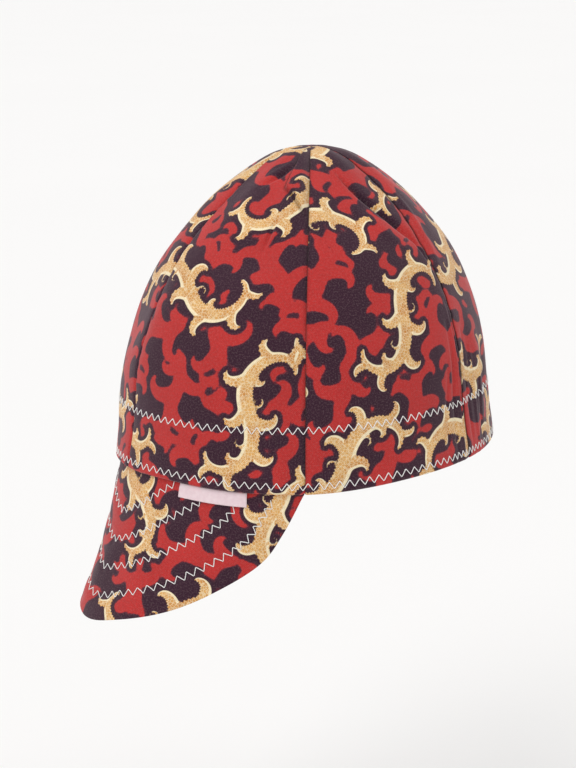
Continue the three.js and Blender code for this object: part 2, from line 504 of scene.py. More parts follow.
@dataclass(frozen=True)
class PrintedCotton:
    """Plain-woven cotton, screen-printed and washed soft: crisp ink over a matt, faintly furry weave.

    The weave breaks up every highlight, the fibre ends give a pale sheen at grazing angles, and the
    ink bleeds a little at its edges. The scales of the noises are counts to a millimetre.
    """

    ground: str = "#341528"
    red: str = "#ba2d2b"
    bleed: str = "#8a2a36"
    gold: str = "#dfaa62"
    ochre: str = "#cb873c"
    cream: str = "#f7e6c0"
    back: str = "#b9a09c"
    fuzz: str = "#f3dfe4"
    thread_mm: float = 0.5  # such cotton has threads about 0.3 mm apart, too fine for the render
    tooth_mm: float = 1.8
    net_mm: float = 1.3
    edge_wear: float = 0.14
    fleck_wear: float = 0.12

    def material(self, side: ClothSide) -> bpy.types.Material:
        """Builds the cotton's material.

        Args:
            side: face, or the paler back.

        Returns:
            The material.
        """
        material, tree = new_material(f"printed_cotton_{side.name.lower()}")
        cloth = add_node(tree, "Attribute", attribute_name="cloth_mm").outputs["Vector"]
        colour = self.print_colour(tree, cloth)
        weave = self.weave(tree, cloth)
        # edge: real wear at folded edges above 0, painted shade at the seams, under the loose flap
        # and in one fold below 0
        edge = add_node(tree, "SeparateXYZ", {0: cloth}).outputs["Z"]
        mottle = add_node(tree, "TexNoise", {"Vector": cloth, "Scale": 0.045, "Detail": 3.0})
        fleck = add_node(tree, "TexNoise", {"Vector": cloth, "Scale": 1.3, "Detail": 2.0})
        worn = add_node(tree, "Math", {0: edge, 1: fleck.outputs[0]}, operation="MULTIPLY")
        heather = add_node(tree, "TexNoise", {"Vector": cloth, "Scale": 0.75, "Detail": 4.0})
        blotch = add_node(tree, "MapRange", {0: mottle.outputs[0], 1: 0.3, 2: 0.7, 3: 0.93, 4: 1.06})
        speck = add_node(tree, "MapRange", {0: heather.outputs[0], 1: 0.3, 2: 0.7, 3: 0.9, 4: 1.1})
        shade = add_node(
            tree, "Math", {0: blotch.outputs[0], 1: speck.outputs[0]}, operation="MULTIPLY"
        )
        # painted shade and highlight of the weave: the colour is darker where the threads dip and
        # lighter where they rise
        weave_shading = add_node(tree, "MapRange", {0: weave, 3: 0.83, 4: 1.13})
        # painted shade: where edge is below 0 (seams, under the flap, along the fold below the side
        # seam) the colour is drawn up to 55% darker
        painted_shade = add_node(tree, "MapRange", {0: edge, 1: -1.0, 2: 0.0, 3: 0.45, 4: 1.0})
        even = add_node(
            tree, "Math", {0: shade.outputs[0], 1: weave_shading.outputs[0]}, operation="MULTIPLY"
        )
        value = add_node(
            tree, "Math", {0: even.outputs[0], 1: painted_shade.outputs[0]}, operation="MULTIPLY"
        )
        toned = add_node(
            tree, "HueSaturation", {"Value": value.outputs[0], "Color": colour}
        ).outputs[0]
        most_lost = side.value + self.edge_wear
        lost = add_node(
            tree, "MapRange", {0: worn.outputs[0], 1: 0.3, 2: 0.75, 3: side.value, 4: most_lost}
        )
        bare = add_node(
            tree, "MapRange", {0: fleck.outputs[0], 1: 0.47, 2: 0.74, 3: 0.0, 4: self.fleck_wear}
        )
        pale = add_node(tree, "Math", {0: lost.outputs[0], 1: bare.outputs[0]}, operation="ADD")
        faded = self.mix(tree, pale.outputs[0], toned, linear(self.back))
        rough = add_node(tree, "MapRange", {0: fleck.outputs[0], 3: 0.76, 4: 0.92})
        crumple = add_node(tree, "TexNoise", {"Vector": cloth, "Scale": 0.16, "Detail": 4.0})
        folds = add_node(
            tree, "Bump", {"Height": crumple.outputs[0], "Strength": 0.5, "Distance": 0.5 * MM}
        )
        threads = add_node(
            tree,
            "Bump",
            {"Height": weave, "Strength": 0.45, "Distance": 0.12 * MM, "Normal": folds.outputs[0]},
        )
        finish_material(
            tree,
            Base_Color=faded,
            Roughness=rough.outputs[0],
            Specular_IOR_Level=0.25,
            Sheen_Weight=0.3,
            Sheen_Roughness=0.45,
            Sheen_Tint=linear(self.fuzz),
            Normal=threads.outputs[0],
        )
        return material

    def mix(
        self, tree: bpy.types.NodeTree, share: object, first: object, second: object
    ) -> bpy.types.NodeSocket:
        """Mixes two colours.

        Args:
            tree: node tree.
            share: socket or number for the share of the second colour.
            first: socket or colour.
            second: socket or colour.

        Returns:
            The mixed colour's socket.
        """
        return add_node(tree, "Mix", {0: share, 6: first, 7: second}, data_type="RGBA").outputs[2]

    def print_colour(
        self, tree: bpy.types.NodeTree, cloth: bpy.types.NodeSocket
    ) -> bpy.types.NodeSocket:
        """Turns the print's measures to ink.

        Args:
            tree: node tree.
            cloth: place on the flat cloth, in millimetres.

        Returns:
            Socket of the printed colour.
        """
        red = add_node(tree, "Attribute", attribute_name="red_print").outputs["Vector"]
        gold = add_node(tree, "Attribute", attribute_name="gold_print").outputs["Vector"]
        red_inside = add_node(tree, "SeparateXYZ", {0: red}).outputs["X"]
        parts = add_node(tree, "SeparateXYZ", {0: gold}).outputs
        creep = add_node(tree, "TexNoise", {"Vector": cloth, "Scale": 0.9, "Detail": 3.0})
        bleed = add_node(tree, "MapRange", {0: creep.outputs[0], 1: 0.25, 2: 0.75, 3: -0.25, 4: 0.25})
        red_edge = add_node(tree, "Math", {0: red_inside, 1: bleed.outputs[0]}, operation="ADD")
        red_ink = add_node(tree, "MapRange", {0: red_edge.outputs[0], 1: -0.12, 2: 0.22})
        halo = add_node(tree, "MapRange", {0: red_inside, 1: -0.7, 2: 0.1, 3: 0.0, 4: 0.4})
        tooth = add_node(
            tree, "Math", {0: parts["Y"], 1: self.tooth_mm / 2}, operation="PINGPONG"
        )
        ridge = add_node(tree, "MapRange", {0: parts["Z"], 1: -0.1, 2: 0.4, 3: 0.0, 4: 0.7})
        cut = add_node(
            tree, "Math", {0: tooth.outputs[0], 1: ridge.outputs[0]}, operation="MULTIPLY"
        )
        toothed = add_node(tree, "Math", {0: parts["X"], 1: cut.outputs[0]}, operation="SUBTRACT")
        gold_ink = add_node(tree, "MapRange", {0: toothed.outputs[0], 1: -0.1, 2: 0.18})
        belly = add_node(tree, "MapRange", {0: parts["Z"], 1: -0.48, 2: -0.66})
        net = add_node(
            tree,
            "TexVoronoi",
            {"Vector": cloth, "Scale": 1 / self.net_mm},
            feature="DISTANCE_TO_EDGE",
        )
        lines = add_node(tree, "MapRange", {0: net.outputs[0], 1: 0.14, 2: 0.03, 3: 0.0, 4: 0.62})
        patch = add_node(tree, "TexNoise", {"Vector": cloth, "Scale": 0.11, "Detail": 2.0})
        tint = add_node(tree, "MapRange", {0: patch.outputs[0], 1: 0.42, 2: 0.68})
        body = self.mix(tree, tint.outputs[0], linear(self.gold), linear(self.ochre))
        scaled = self.mix(tree, lines.outputs[0], body, linear(self.cream))
        figure = self.mix(tree, belly.outputs[0], scaled, linear(self.cream))
        haloed = self.mix(tree, halo.outputs[0], linear(self.ground), linear(self.bleed))
        tongues = self.mix(tree, red_ink.outputs[0], haloed, linear(self.red))
        return self.mix(tree, gold_ink.outputs[0], tongues, figure)

    def weave(
        self, tree: bpy.types.NodeTree, cloth: bpy.types.NodeSocket
    ) -> bpy.types.NodeSocket:
        """Crosses warp and weft.

        Args:
            tree: node tree.
            cloth: place on the flat cloth, in millimetres.

        Returns:
            Socket of the weave's height, from 0 to 1.
        """
        parts = add_node(tree, "SeparateXYZ", {0: cloth}).outputs
        waves = []
        for axis in ("X", "Y"):
            turn = add_node(
                tree, "Math", {0: parts[axis], 1: math.pi / self.thread_mm}, operation="MULTIPLY"
            )
            waves.append(add_node(tree, "Math", {0: turn.outputs[0]}, operation="SINE").outputs[0])
        crossed = add_node(tree, "Math", {0: waves[0], 1: waves[1]}, operation="MULTIPLY")
        slub = add_node(tree, "TexNoise", {"Vector": cloth, "Scale": 2.2, "Detail": 2.0})
        uneven = add_node(tree, "Math", {0: crossed.outputs[0], 1: slub.outputs[0]}, operation="ADD")
        return add_node(tree, "MapRange", {0: uneven.outputs[0], 1: -0.5, 2: 1.5}).outputs[0]


@dataclass(frozen=True)
class PolyesterThread:
    """White polyester sewing thread, two plies twisted: small silky highlights on each turn."""

    colour: str = "#fdfbf8"
    twist_mm: float = 0.6

    def material(self) -> bpy.types.Material:
        """Builds the thread's material.

        Returns:
            The material.
        """
        material, tree = new_material("polyester_thread")
        strand = add_node(tree, "Attribute", attribute_name="strand").outputs["Vector"]
        parts = add_node(tree, "SeparateXYZ", {0: strand}).outputs
        along = add_node(
            tree, "Math", {0: parts["Y"], 1: math.tau / self.twist_mm}, operation="MULTIPLY"
        )
        turn = add_node(
            tree, "Math", {0: parts["X"], 1: 2.0, 2: along.outputs[0]}, operation="MULTIPLY_ADD"
        )
        ply = add_node(tree, "Math", {0: turn.outputs[0]}, operation="SINE")
        bump = add_node(
            tree, "Bump", {"Height": ply.outputs[0], "Strength": 0.6, "Distance": 0.08 * MM}
        )
        # painted shade: the thread is drawn up to 7% darker in the grooves between its twisted plies
        tone = add_node(tree, "MapRange", {0: ply.outputs[0], 1: -1.0, 3: 0.93, 4: 1.0})
        colour = add_node(
            tree, "HueSaturation", {"Value": tone.outputs[0], "Color": linear(self.colour)}
        )
        finish_material(
            tree,
            Base_Color=colour.outputs[0],
            Roughness=0.48,
            Sheen_Weight=0.15,
            Normal=bump.outputs[0],
        )
        return material


@dataclass(frozen=True)
class WovenSatin:
    """Woven polyester satin tape, heat-cut: smooth and a little glossy, with very fine ribs."""

    colour: str = "#ecd6da"
    shadow: str = "#dcbcc4"
    rib_mm: float = 0.4  # such tape has ribs about 0.2 mm apart, too fine for the render

    def material(self) -> bpy.types.Material:
        """Builds the tape's material.

        Returns:
            The material.
        """
        material, tree = new_material("woven_satin")
        cloth = add_node(tree, "Attribute", attribute_name="cloth_mm").outputs["Vector"]
        parts = add_node(tree, "SeparateXYZ", {0: cloth}).outputs
        turn = add_node(
            tree, "Math", {0: parts["Y"], 1: math.tau / self.rib_mm}, operation="MULTIPLY"
        )
        rib = add_node(tree, "Math", {0: turn.outputs[0]}, operation="SINE")
        cloud = add_node(tree, "TexNoise", {"Vector": cloth, "Scale": 0.35, "Detail": 3.0})
        tone = add_node(tree, "MapRange", {0: cloud.outputs[0], 1: 0.35, 2: 0.7, 4: 0.5})
        colour = add_node(
            tree,
            "Mix",
            {0: tone.outputs[0], 6: linear(self.colour), 7: linear(self.shadow)},
            data_type="RGBA",
        )
        bump = add_node(
            tree, "Bump", {"Height": rib.outputs[0], "Strength": 0.35, "Distance": 0.05 * MM}
        )
        finish_material(
            tree,
            Base_Color=colour.outputs[2],
            Roughness=0.42,
            Sheen_Weight=0.1,
            Normal=bump.outputs[0],
        )
        return material


@dataclass(frozen=True)
class StudioPaper:
    """Matt white background paper, faintly uneven."""

    colour: str = "#f6f5f4"

    def material(self) -> bpy.types.Material:
        """Builds the paper's material.

        Returns:
            The material.
        """
        material, tree = new_material("background_paper")
        place = add_node(tree, "TexCoord").outputs["Object"]
        cloud = add_node(tree, "TexNoise", {"Vector": place, "Scale": 1.5, "Detail": 2.0})
        tone = add_node(tree, "MapRange", {0: cloud.outputs[0], 3: 0.985, 4: 1.0})
        colour = add_node(
            tree, "HueSaturation", {"Value": tone.outputs[0], "Color": linear(self.colour)}
        )
        finish_material(tree, Base_Color=colour.outputs[0], Roughness=0.9)
        return material


def woven_sheet(
    name: str, columns: int, rows: int, place: Placement, weld: float = 0.0
) -> bpy.types.Object:
    """Makes a bmesh grid and moves its points into place.

    Args:
        name: name of the object.
        columns: cells across.
        rows: cells up.
        place: gives points in millimetres and attributes for column and row numbers.
        weld: distance in millimetres within which points are merged.

    Returns:
        The object.
    """
    shape = bmesh.new()
    bmesh.ops.create_grid(shape, x_segments=columns, y_segments=rows, size=0.5)
    mesh = bpy.data.meshes.new(name)
    shape.to_mesh(mesh)
    flat = np.zeros(len(mesh.vertices) * 3, np.float32)
    mesh.vertices.foreach_get("co", flat)
    flat = flat.reshape(-1, 3)
    column = np.rint((flat[:, 0] + 0.5) * columns).astype(int)
    row = np.rint((flat[:, 1] + 0.5) * rows).astype(int)
    points, attributes = place(column, row)
    mesh.vertices.foreach_set("co", (points * MM).astype(np.float32).ravel())
    for key, values in attributes.items():
        layer = mesh.attributes.new(key, "FLOAT_VECTOR", "POINT")
        layer.data.foreach_set("vector", values.astype(np.float32).ravel())
    if weld:
        shape.clear()
        shape.from_mesh(mesh)
        bmesh.ops.remove_doubles(shape, verts=shape.verts, dist=weld * MM)
        shape.to_mesh(mesh)
    shape.free()
    mesh.shade_smooth()
    obj = bpy.data.objects.new(name, mesh)
    bpy.context.scene.collection.objects.link(obj)
    return obj


def thicken(obj: bpy.types.Object, thickness: float, material_step: int = 0) -> None:
    """Gives a sheet its thickness, on its inner side.

    Args:
        obj: sheet.
        thickness: in millimetres.
        material_step: how many material slots further the inner side's material is.
    """
    wall = obj.modifiers.new("wall", "SOLIDIFY")
    wall.thickness = thickness * MM
    wall.offset = -1
    wall.material_offset = material_step
    wall.use_even_offset = False


@dataclass(frozen=True)
class Dent:
    """Soft dent (minus) or swell (plus) of the crown, as in the CAD."""

    angle: float
    height: float
    angle_spread: float
    height_spread: float
    depth: float


@dataclass(frozen=True)
class Crease:
    """Narrow crease of the crown between two places, each an angle and a share of the height."""

    angle: float
    height: float
    end_angle: float
    end_height: float
    spread: float
    depth: float


@dataclass(frozen=True)
class RimDip:
    """Stretch of the rim that hangs lower, or with a drop under 0 is drawn up."""

    angle: float
    spread: float
    drop: float


@dataclass(frozen=True)
class Ripple:
    """Shallow wave of the crown: its count round the rim, its pace up it, and a shift in each."""

    count: int
    phase: float
    pace: float
    shift: float


@dataclass
class CrownForm:
    """Outer face of the crown, in millimetres, nearly as the CAD has it, with its finer folds."""

    half_length: float = 104.0
    half_width: float = 88.0
    height: float = 155.7
    lean: float = 4.0
    puff: float = 0.9
    seams: tuple[float, ...] = (0.0, 64.5, 121.5, 180.0, 238.5, 295.5, 360.0)
    profile: tuple[tuple[float, float], ...] = (
        (1.0, 0.0), (0.972, 0.1), (0.953, 0.2), (0.923, 0.35), (0.85, 0.5),
        (0.734, 0.65), (0.581, 0.78), (0.417, 0.88), (0.243, 0.96), (0.122, 0.99), (0.0, 1.0),
    )
    dents: tuple[Dent, ...] = (
        Dent(44, 0.7, 9, 0.05, -1.6),
        Dent(53, 0.86, 8, 0.09, 1.5),
        Dent(84, 0.84, 12, 0.06, -1.4),
        Dent(127, 0.3, 3.5, 0.14, -1.5),
        Dent(134, 0.26, 3, 0.12, 1.2),
        Dent(141, 0.24, 3, 0.12, -1.3),
        Dent(224, 0.28, 4, 0.13, -1.4),
        Dent(300, 0.66, 10, 0.06, -1.3),
        Dent(332, 0.24, 22, 0.14, 1.2),
        Dent(332, 0.74, 20, 0.1, -1.0),
        Dent(152, 0.42, 18, 0.16, -1.4),
    )
    creases: tuple[Crease, ...] = (
        Crease(49, 0.82, 45, 0.72, 1.0, -1.7),
        Crease(50.5, 0.82, 47, 0.72, 1.4, 0.7),
        Crease(28, 0.89, 47, 0.95, 1.2, -1.5),
        Crease(26, 0.91, 44, 0.965, 1.6, 0.6),
        Crease(92, 0.90, 119, 0.70, 2.4, -2.1),
        Crease(88, 0.93, 119, 0.70, 0.9, -1.5),
        Crease(116, 0.75, 121, 0.6, 0.9, -0.9),
        Crease(84, 0.87, 112, 0.68, 3.6, 0.9),
        Crease(128, 0.86, 125, 0.62, 2.6, 0.8),
        Crease(111, 0.02, 113, 0.34, 0.9, -0.7),
        Crease(115.5, 0.0, 116, 0.46, 1.0, -1.1),
        Crease(118.8, 0.0, 118, 0.5, 1.0, 0.8),
        Crease(120.0, 0.0, 119.2, 0.52, 0.9, -1.2),
        Crease(124.5, 0.02, 125.5, 0.42, 1.0, -1.0),
        Crease(128.5, 0.0, 129.5, 0.36, 1.0, 0.8),
        Crease(132, 0.03, 133, 0.3, 1.0, -0.9),
        Crease(231, 0.0, 232, 0.34, 1.0, -0.9),
        Crease(236, 0.02, 235, 0.4, 1.0, -1.0),
        Crease(243, 0.0, 242, 0.36, 1.0, -0.9),
        Crease(280, 0.78, 292, 0.7, 1.4, -0.9),
        Crease(205, 0.82, 216, 0.75, 1.6, -0.9),
        Crease(330, 0.8, 318, 0.86, 1.2, -0.8),
    )
    # painted shade along the fold below the side seam: this crease only darkens the cloth's colour,
    # it does not shape it
    tuck: Crease = Crease(88, 0.93, 120, 0.68, 0.6, 0.95)
    stitch_rises: tuple[float, ...] = (3.9, 30.0)
    rim_dips: tuple[RimDip, ...] = (
        RimDip(68, 24, 2.4),
        RimDip(-68, 24, 2.4),
        RimDip(21, 13, -1.0),
        RimDip(-33, 21, 3.0),
    )
    dip_height: float = 0.4
    flap_corners: tuple[tuple[float, float], ...] = ((51.0, 0.985), (47.5, 0.888), (64.2, 0.80))
    flap_lift: float = 2.3
    undulation: float = 0.36
    undulation_bend: float = 0.6
    loose_above: tuple[float, float] = (8.0, 45.0)
    loose_below_top: tuple[float, float] = (0.0, 40.0)
    pucker: float = 0.13
    pucker_pace: float = 0.78
    pucker_drift: float = 2.1
    pucker_drift_pace: float = 0.13
    seam_valley: float = 0.3
    seam_reach: float = 4.0
    valley_above: tuple[float, float] = (2.0, 20.0)
    valley_below_top: tuple[float, float] = (4.0, 30.0)
    stitch_tug: float = 0.3
    stitch_reach: float = 2.0
    tug_spread: float = 0.25
    tug_pace: float = 1.21
    hem_ridge: float = 0.25
    hem_ridge_top: tuple[float, float] = (31.5, 29.5)
    hem_ridge_foot: tuple[float, float] = (3.0, 9.0)
    samples: int = 1801

    ANGLE_STEP = 0.25
    ANGLE_END = 400.0
    LEAN_POWER = 1.5
    PROBE_DEGREES = 1
    PROBE_MM = 0.2
    RIPPLES = 7
    RIPPLE_SEED = 5
    RIPPLE_COUNTS = (4, 11)
    RIPPLE_PACES = (0.03, 0.075)
    CREASE_ENDS = (0.04, 0.96)
    CREASE_POWER = 0.6
    FLAP_FADE_MM = 5.0
    FLAP_EDGE_MM = (-0.1, 0.8)

    def __post_init__(self) -> None:
        """Tabulates the half-section and the way round the rim, and draws the ripples."""
        curve = catmull_rom(np.array(self.profile), np.linspace(0, 1, self.samples))
        mean = (self.half_length + self.half_width) / 2
        steps = np.hypot(np.diff(curve[:, 0]) * mean, np.diff(curve[:, 1]) * self.height)
        self.rises = np.concatenate([[0.0], np.cumsum(steps)])
        self.radii, self.heights = curve[:, 0], curve[:, 1]
        self.angles = np.arange(-self.ANGLE_END, self.ANGLE_END + self.ANGLE_STEP, self.ANGLE_STEP)
        turn = np.radians(self.angles)
        speed = np.hypot(self.half_width * np.cos(turn), self.half_length * np.sin(turn))
        step = math.radians(self.ANGLE_STEP)
        arcs = np.concatenate([[0.0], np.cumsum((speed[1:] + speed[:-1]) / 2) * step])
        self.arcs = arcs - np.interp(0.0, self.angles, arcs)
        draw = np.random.default_rng(self.RIPPLE_SEED)
        self.ripples = [
            Ripple(
                draw.integers(*self.RIPPLE_COUNTS),
                draw.uniform(0, math.tau),
                draw.uniform(*self.RIPPLE_PACES),
                draw.uniform(0, math.tau),
            )
            for _ in range(self.RIPPLES)
        ]

    def arc_at(self, angle: Array) -> Array:
        """Way round the rim to an angle."""
        return np.interp(angle, self.angles, self.arcs)

    def angle_at(self, arc: Array) -> Array:
        """Angle at a way round the rim."""
        return np.interp(arc, self.arcs, self.angles)

    def radius_at(self, rise: Array) -> Array:
        """Share of the rim's size at a way up the section."""
        return np.interp(rise, self.rises, self.radii)

    def rise_at(self, height: Array) -> Array:
        """Way up the section to a share of the height."""
        return np.interp(height, self.heights, self.rises)

    def shell(self, angle: Array, rise: Array, depth: Array) -> Array:
        """Places points on the plain dome.

        Args:
            angle: from the front towards the wearer's left, in degrees.
            rise: way up the section, in millimetres.
            depth: way out along the dome's normal, in millimetres.

        Returns:
            Points in millimetres.
        """
        point = self.dome(angle, rise)
        return point + self.normal(angle, rise) * np.asarray(depth)[..., None]

    def dome(self, angle: Array, rise: Array) -> Array:
        """Places points on the plain dome itself.

        Args:
            angle: in degrees.
            rise: way up the section, in millimetres.

        Returns:
            Points in millimetres.
        """
        turn = np.radians(angle)
        radius, height = self.radius_at(rise), np.interp(rise, self.rises, self.heights)
        across, along = self.half_width * np.sin(turn), -self.half_length * np.cos(turn)
        low_part = np.clip(1 - height / self.dip_height, 0, 1) ** 2
        up = self.height * height
        for dip in self.rim_dips:
            away = turn_from(angle, dip.angle) / dip.spread
            up = up - dip.drop * np.exp(-(away**2)) * low_part
        leant = self.lean * height**self.LEAN_POWER
        return np.stack([across * radius, along * radius + leant, up], -1)

    def normal(self, angle: Array, rise: Array) -> Array:
        """Finds the plain dome's outward direction.

        Args:
            angle: in degrees.
            rise: way up the section, in millimetres.

        Returns:
            A direction of length 1 for each place.
        """
        low = np.maximum(rise - self.PROBE_MM, 0)
        high = np.minimum(rise + self.PROBE_MM, self.rises[-1])
        left, right = angle + self.PROBE_DEGREES, angle - self.PROBE_DEGREES
        sideways = self.dome(left, rise) - self.dome(right, rise)
        return unit(np.cross(sideways, self.dome(angle, high) - self.dome(angle, low)))

    def crease_depth(self, crease: Crease, angle: Array, rise: Array) -> Array:
        """Finds the depth of one crease.

        Args:
            crease: the crease.
            angle: in degrees.
            rise: way up the section, in millimetres.

        Returns:
            Way out, in millimetres, less than 0 in a hollow.
        """
        ends = self.rise_at(np.array([crease.height, crease.end_height]))
        radius = self.radius_at(ends.mean())
        first = self.arc_at(np.array(crease.angle)) * radius
        last = self.arc_at(np.array(crease.end_angle)) * radius
        way = np.array([last - first, ends[1] - ends[0]])
        offset = np.stack([self.arc_at(np.mod(angle, 360)) * radius - first, rise - ends[0]], -1)
        share = np.clip(offset @ way / (way @ way), 0, 1)
        away = np.linalg.norm(offset - share[..., None] * way, axis=-1)
        fade = np.sin(np.pi * np.clip(share, *self.CREASE_ENDS)) ** self.CREASE_POWER
        return crease.depth * fade * np.exp(-((away / crease.spread) ** 2))

    def flap(self, angle: Array, rise: Array) -> tuple[Array, Array]:
        """Finds the loose fold of cloth left of the side seam near the top.

        Args:
            angle: in degrees.
            rise: way up the section, in millimetres.

        Returns:
            Distance inside the fold's free edge, and a share that falls from 1 to 0 at the seam that
            holds it.
        """
        seam = self.arc_at(np.array(self.seams[1]))
        side = (self.arc_at(np.mod(angle, 360)) - seam) * self.radius_at(rise)
        places = []
        for corner_angle, corner_height in self.flap_corners:
            up = self.rise_at(np.array(corner_height))
            arc = self.arc_at(np.array(corner_angle)) - seam
            places.append(np.array([arc * self.radius_at(up), up]))
        inside = np.full(side.shape, FAR_MM)
        for first, second in zip(places, places[1:]):
            way = unit(second - first)
            left_of = way[0] * (rise - first[1]) - way[1] * (side - first[0])
            inside = np.minimum(inside, left_of)
        return inside, smoothstep(-side, 0.0, self.FLAP_FADE_MM)

    def swell(self, angle: Array, rise: Array) -> Array:
        """Adds up the cloth's swells, dents, creases and stitch lines.

        Args:
            angle: in degrees.
            rise: way up the section, in millimetres.

        Returns:
            Way out from the plain dome, in millimetres.
        """
        height = np.interp(rise, self.rises, self.heights)
        turned = np.mod(angle, 360)
        seams = np.array(self.seams)
        index = np.clip(np.searchsorted(seams, turned, side="right") - 1, 0, len(seams) - 2)
        gore = seams[index + 1] - seams[index]
        share = (turned - seams[index]) / gore
        below_top = self.rises[-1] - rise
        depth = self.puff * np.sin(np.pi * share) * np.sin(np.pi * height)
        for dent in self.dents:
            across = turn_from(angle, dent.angle) / dent.angle_spread
            up = (height - dent.height) / dent.height_spread
            depth += dent.depth * np.exp(-(across**2) - up**2)
        for crease in self.creases:
            depth += self.crease_depth(crease, angle, rise)
        free = smoothstep(rise, *self.loose_above) * smoothstep(below_top, *self.loose_below_top)
        for ripple in self.ripples:
            bend = self.undulation_bend * np.sin(rise * ripple.pace)
            round_it = np.cos(ripple.count * np.radians(angle) + ripple.phase + bend)
            up_it = np.cos(ripple.pace * rise + ripple.shift)
            depth += self.undulation * free * round_it * up_it
        to_seam = np.minimum(share, 1 - share) * gore * math.radians(1) * self.half_length
        to_seam = to_seam * self.radius_at(rise)
        drift = self.pucker_drift * np.sin(rise * self.pucker_drift_pace)
        pucker = np.sin(rise * self.pucker_pace + drift) * self.pucker
        sewn = smoothstep(rise, *self.valley_above) * smoothstep(below_top, *self.valley_below_top)
        valley = pucker * free - self.seam_valley * sewn
        depth += np.exp(-((to_seam / self.seam_reach) ** 2)) * valley
        arc = self.arc_at(turned)
        for stitched in self.stitch_rises:
            slack = self.tug_spread * (1 - np.sin(arc * self.tug_pace + stitched))
            tug = self.stitch_tug * (1 - slack)
            depth -= tug * np.exp(-(((rise - stitched) / self.stitch_reach) ** 2))
        hem = smoothstep(rise, *self.hem_ridge_top) * smoothstep(rise, *self.hem_ridge_foot)
        depth += self.hem_ridge * hem
        inside, held = self.flap(angle, rise)
        return depth + self.flap_lift * held * smoothstep(inside, *self.FLAP_EDGE_MM)

    def surface(self, arc: Array, rise: Array, depth: Array) -> Array:
        """Places points on the finished cloth.

        Args:
            arc: way round the rim.
            rise: way up the section, in millimetres.
            depth: way out from the cloth's face, in millimetres.

        Returns:
            Points in millimetres.
        """
        angle = self.angle_at(arc)
        return self.shell(angle, rise, self.swell(angle, rise) + depth)


